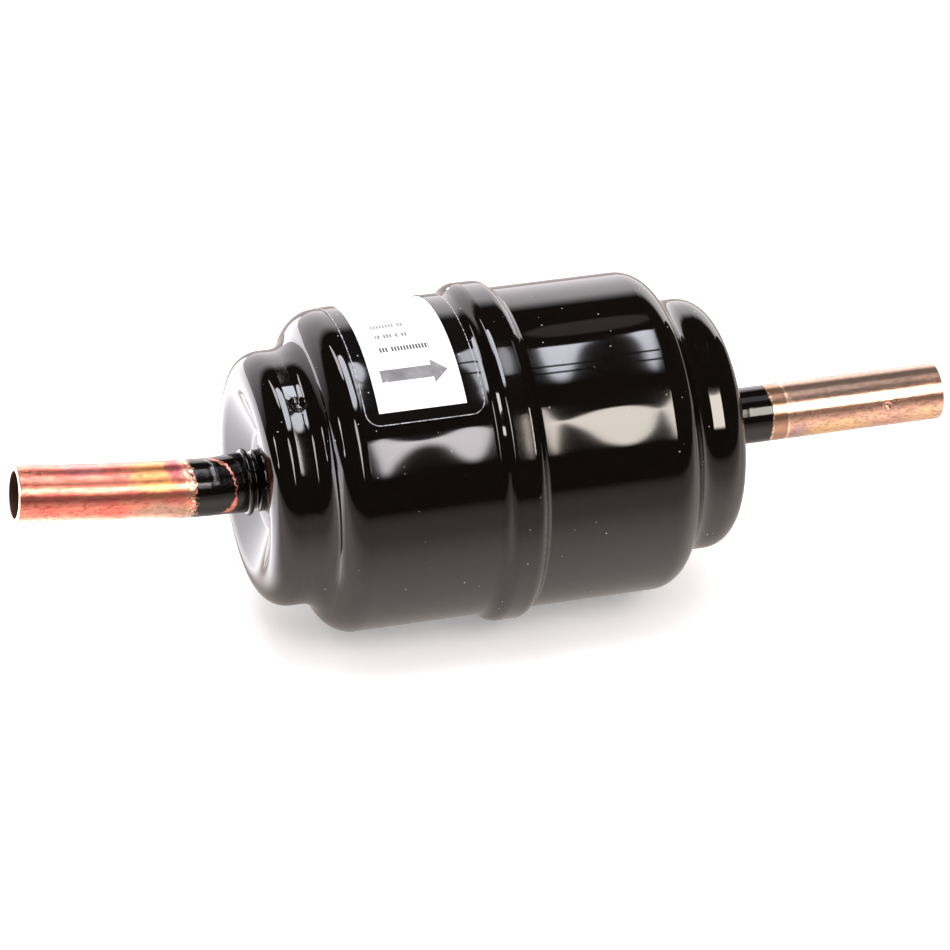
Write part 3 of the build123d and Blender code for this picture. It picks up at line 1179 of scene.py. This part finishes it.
ROOM_LIGHTS: tuple[SoftLight, ...] = (
    SoftLight(
        "front_light_left",
        (
            (252.3, 41, 42), (255.5, 18, 44), (258.7, 16, 44.7), (264.1, 24, 42.3), (271.7, 31, 40.5),
            (279.2, 33, 40.3), (286.9, 30, 41.7), (292.3, 22.5, 43.7), (297.8, 18, 45), (303.2, 19.5, 44.6),
            (307.6, 29, 43), (309.3, 37, 41),
        ),
        Glow.PALE, 11.0, fade_low=7.0,
    ),
    SoftLight(
        "front_light_right",
        (
            (333.5, 36, 50), (335.2, 24, 52), (338.1, 15.5, 45), (340.3, 28, 42), (342.4, 36.5, 41),
            (347.4, 34.5, 41.4), (354.1, 29, 43.3), (360.8, 21, 45), (367.6, 17, 45.7), (374.3, 16, 45.6),
            (381.1, 19, 44.2), (386.2, 26, 42.2), (390.5, 38, 40.6), (393.5, 28, 43), (396.9, 15.5, 47.5),
            (400.3, 22, 53.5), (402.6, 32, 44),
        ),
        Glow.WARM, 13.0, fade_low=4.0,
    ),
    SoftLight(
        "front_light_outlet",
        (
            (406, 30, 44), (409, 22, 57), (415, 18, 55), (421, 17.5, 49.5), (427, 17.5, 54), (436, 20, 57),
            (446, 32, 44),
        ),
        Glow.WARM, 14.0,
    ),
    SoftLight(
        "tube_light_outlet",
        ((432.4, 26, 38), (440.5, 21, 46), (456.7, 18, 52), (563.2, 18, 52)),
        Glow.WARM, 12.0,
    ),
    SoftLight(
        "tube_light_inlet",
        ((120.1, 20, 52), (150.6, 20, 50), (169.1, 26, 46), (192, 33, 40)),
        Glow.PALE, 9.0,
    ),
    SoftLight("overhead_outlet", ((434.7, 78, 104), (563.2, 78, 104)), Glow.PALE, 1.0),
    SoftLight("overhead_inlet", ((110, 62, 104), (202.4, 62, 104)), Glow.PALE, 1.0),
    SoftLight(
        "front_light_inlet",
        ((208.8, 54, 66), (210.9, 40, 71), (215.1, 28, 68), (219.3, 24, 50)),
        Glow.PALE, 11.0,
    ),
    SoftLight(
        "window_left",
        (
            (243.7, 86, 106), (245.1, 68, 107.5), (247, 65, 107), (250, 66, 106), (252, 76, 105),
            (254.5, 84, 104), (256.5, 90, 99),
        ),
        Glow.COOL, 10.0, fade_low=6.0, bars=((97.5, 83), (88, 76)),
    ),
    SoftLight(
        "window_bead",
        (
            (301.5, 86, 101), (304, 83, 102), (306, 76, 103), (307.5, 60, 104), (310, 58, 104.5),
            (312, 80, 105),
        ),
        Glow.COOL, 8.0, fade_low=8.0, bars=((92, 92), (83, 83)),
    ),
    SoftLight(
        "window_right",
        (
            (339.4, 84, 97.5), (341.1, 72, 97.5), (344.1, 66, 97.5), (349.6, 66, 97.3), (353, 73, 97.2),
            (355.2, 78, 97.2), (359.7, 89.5, 97.2), (368.7, 96.6, 97.3),
        ),
        Glow.COOL, 11.0, fade_low=8.0, bars=((81, 80), (75.7, 75)),
    ),
    SoftLight(
        "window_far_right",
        (
            (378.8, 98, 98.6), (383.6, 95.3, 99.7), (387.2, 87, 100.7), (388.5, 72, 101), (390.5, 65, 101.3),
            (392.7, 65, 101.2), (394.3, 74, 101), (395.6, 90, 100.8),
        ),
        Glow.COOL, 11.0, fade_low=8.0, bars=((83, 83), (76, 76)),
    ),
    SoftLight(
        "window_inlet",
        (
            (211.9, 84, 108), (214.5, 70, 113.5), (219.3, 63.5, 114), (225.6, 62.5, 114), (231, 66, 113.5),
            (235.2, 80, 112),
        ),
        Glow.COOL, 11.0, fade_low=5.0,
    ),
    SoftLight(
        "skylight_inlet",
        ((206.6, 122, 130), (209.8, 115, 136), (215.1, 114, 135), (218.2, 119, 128)),
        Glow.PALE, 11.0,
    ),
    SoftLight(
        "skylight_shoulder",
        ((229.9, 134, 150), (233.1, 127, 165), (237.3, 127, 166), (240.5, 134, 150)),
        Glow.PALE, 11.0,
    ),
    SoftLight(
        "ceiling",
        (
            (334.1, 109, 112), (340.7, 105.5, 116), (347.4, 103.5, 117.5), (365.3, 103, 118.5),
            (383.3, 104, 118.5), (391.3, 106, 117.5), (398.1, 110, 114),
        ),
        Glow.ROSY, 0.38, fade_low=3.0, fade_high=3.0,
    ),
    SoftLight(
        "bead_low",
        ((324, 28, 42), (324.5, 20, 47), (325.3, 16, 48), (326, 24, 42)),
        Glow.WARM, 13.0, fade_low=2.0,
    ),
    SoftLight(
        "bead_top",
        ((318.5, 82, 92), (320, 75, 97), (323, 75, 97), (324.5, 82, 92)),
        Glow.COOL, 6.0, fade_low=2.0,
    ),
    SoftLight("side_low", ((-420, 48, 56), (-370, 26, 61), (-310, 17, 60), (-260, 38, 54)), Glow.PALE, 9.0),
    SoftLight(
        "side_top",
        ((-420, 96, 104), (-360, 90, 124), (-310, 92, 126), (-260, 100, 112)),
        Glow.PALE, 8.0,
    ),
    SoftLight(
        "window_side",
        ((-230, 74, 104), (-200, 66, 112), (0, 66, 112), (60, 72, 106)),
        Glow.COOL, 10.0, fade_low=5.0,
    ),
    SoftLight(
        "bead_flank",
        ((-4300, 44, 58), (-3600, 46, 62), (-3000, 70, 92), (-2500, 82, 96)),
        Glow.PALE, 12.0,
    ),
    SoftLight(
        "backdrop",
        ((-3000, 135, 184), (1800, 135, 184)),
        Glow.PALE, 2.6, fade_low=14.0, fade_first=1.0, drum_radius=1500.0,
    ),
)


@dataclass
class Studio:
    """Floor, lights and world round the part, in metres."""

    lights: tuple[SoftLight, ...] = ROOM_LIGHTS
    floor_level: float = -0.0349
    floor_reach: float = 3.0
    floor_colour: Colour = (0.97, 0.955, 0.955, 1.0)
    mirrored_colour: Colour = (0.36, 0.315, 0.29, 1.0)
    edge_start: float = 0.08
    edge_end: float = 0.34
    near_lift: float = 0.80
    near_end: tuple[float, float] = (0.105, 0.03)
    near_start: tuple[float, float] = (0.0, 0.04)
    near_low: float = 0.4
    pool_lift: float = 3.2
    pool_side: tuple[float, float] = (-0.054, -0.070)
    pool_front: tuple[float, float] = (0.025, -0.015)
    pool_tint: Colour = (0.97, 0.95, 1.0, 1.0)
    near_tint: Colour = (1.0, 0.92, 0.87, 1.0)
    camera_lift: float = 0.28
    fill: float = 0.72
    dark_room: Colour = (0.035, 0.028, 0.024, 1.0)

    def build(self) -> None:
        """Builds the floor, the lights and the world."""
        self.build_floor()
        for light in self.lights:
            light.build()
        self.build_world()

    def dark_mask(self, graph: Graph) -> Socket:
        """Mask that grows to 1 where glossy surfaces see the dark room beyond the pale table."""
        ahead = graph.times(graph.axes(graph.place())[1], -1.0)
        return graph.ramp(ahead, self.edge_start, self.edge_end)

    def mirrored_lift(self, graph: Graph) -> tuple[Socket, Socket]:
        """Extra light that the can sees in the floor.

        Returns:
            Its strength, and the share of it that comes from the bright pool beside the inlet end.

        Args:
            graph: The material's graph.
        """
        x, y, _ = graph.axes(graph.place())
        ahead = graph.times(y, -1.0)
        pool = graph.times(graph.ramp(x, *self.pool_side), graph.ramp(ahead, *self.pool_front))
        start = graph.ramp(ahead, *self.near_start, self.near_low, 1.0)
        near = graph.times(graph.ramp(ahead, *self.near_end), start, self.near_lift)
        return graph.math("MULTIPLY_ADD", pool, self.pool_lift, near), pool

    def build_floor(self) -> None:
        """Adds the pale floor, lifted to white for the camera and for what reflects it."""
        material, graph = new_material("pale_floor")
        path = graph.node("ShaderNodeLightPath")
        seen, glossy = path.outputs["Is Camera Ray"], path.outputs["Is Glossy Ray"]
        matt = graph.node("ShaderNodeBsdfDiffuse")
        graph.feed(matt.inputs["Color"], graph.mix(glossy, self.floor_colour, self.mirrored_colour))
        lift = graph.node("ShaderNodeEmission")
        mirrored, pool = self.mirrored_lift(graph)
        tint = graph.mix(pool, self.near_tint, self.pool_tint)
        graph.feed(lift.inputs["Color"], graph.mix(seen, tint, grey(1.0)))
        strength = graph.math("MULTIPLY_ADD", seen, self.camera_lift, graph.times(glossy, mirrored))
        graph.feed(lift.inputs["Strength"], strength)
        both = graph.node("ShaderNodeAddShader")
        graph.feed(both.inputs[0], matt.outputs[0])
        graph.feed(both.inputs[1], lift.outputs[0])
        dark = graph.node("ShaderNodeEmission")
        dark.inputs["Color"].default_value = self.dark_room
        blend = graph.node("ShaderNodeMixShader")
        graph.feed(blend.inputs[0], graph.times(self.dark_mask(graph), glossy))
        graph.feed(blend.inputs[1], both.outputs[0])
        graph.feed(blend.inputs[2], dark.outputs[0])
        graph.output(blend)
        signs = ((-1, -1), (1, -1), (1, 1), (-1, 1))
        corners = [(x * self.floor_reach, y * self.floor_reach, self.floor_level) for x, y in signs]
        mesh = bpy.data.meshes.new("floor")
        mesh.from_pydata(corners, [], [(0, 1, 2, 3)])
        stage_piece("floor", mesh, material)

    def build_world(self) -> None:
        """White for the camera, dark room in reflections, and an even soft fill on matt surfaces."""
        world = bpy.data.worlds.new("world")
        world.use_nodes = True
        graph = Graph(world.node_tree)
        path = graph.node("ShaderNodeLightPath")
        back = graph.node("ShaderNodeBackground")
        unseen = graph.mix(path.outputs["Is Glossy Ray"], grey(self.fill), self.dark_room)
        graph.feed(back.inputs["Color"], graph.mix(path.outputs["Is Camera Ray"], unseen, grey(1.0)))
        graph.output(back, "ShaderNodeOutputWorld")
        bpy.context.scene.world = world


def main() -> None:
    """Dresses the part, then adds the studio and the camera."""
    logging.basicConfig(level=logging.INFO, format="%(message)s")
    bpy.context.scene.view_settings.view_transform = "Standard"
    effects = SharedEffects()
    for assembly in (Can(), Tubes(), Label(), FilterPack()):
        assembly.finish(effects)
        log.info("%s is done", type(assembly).__name__)
    Studio().build()
    Camera().build()


if __name__ == "__main__":
    main()
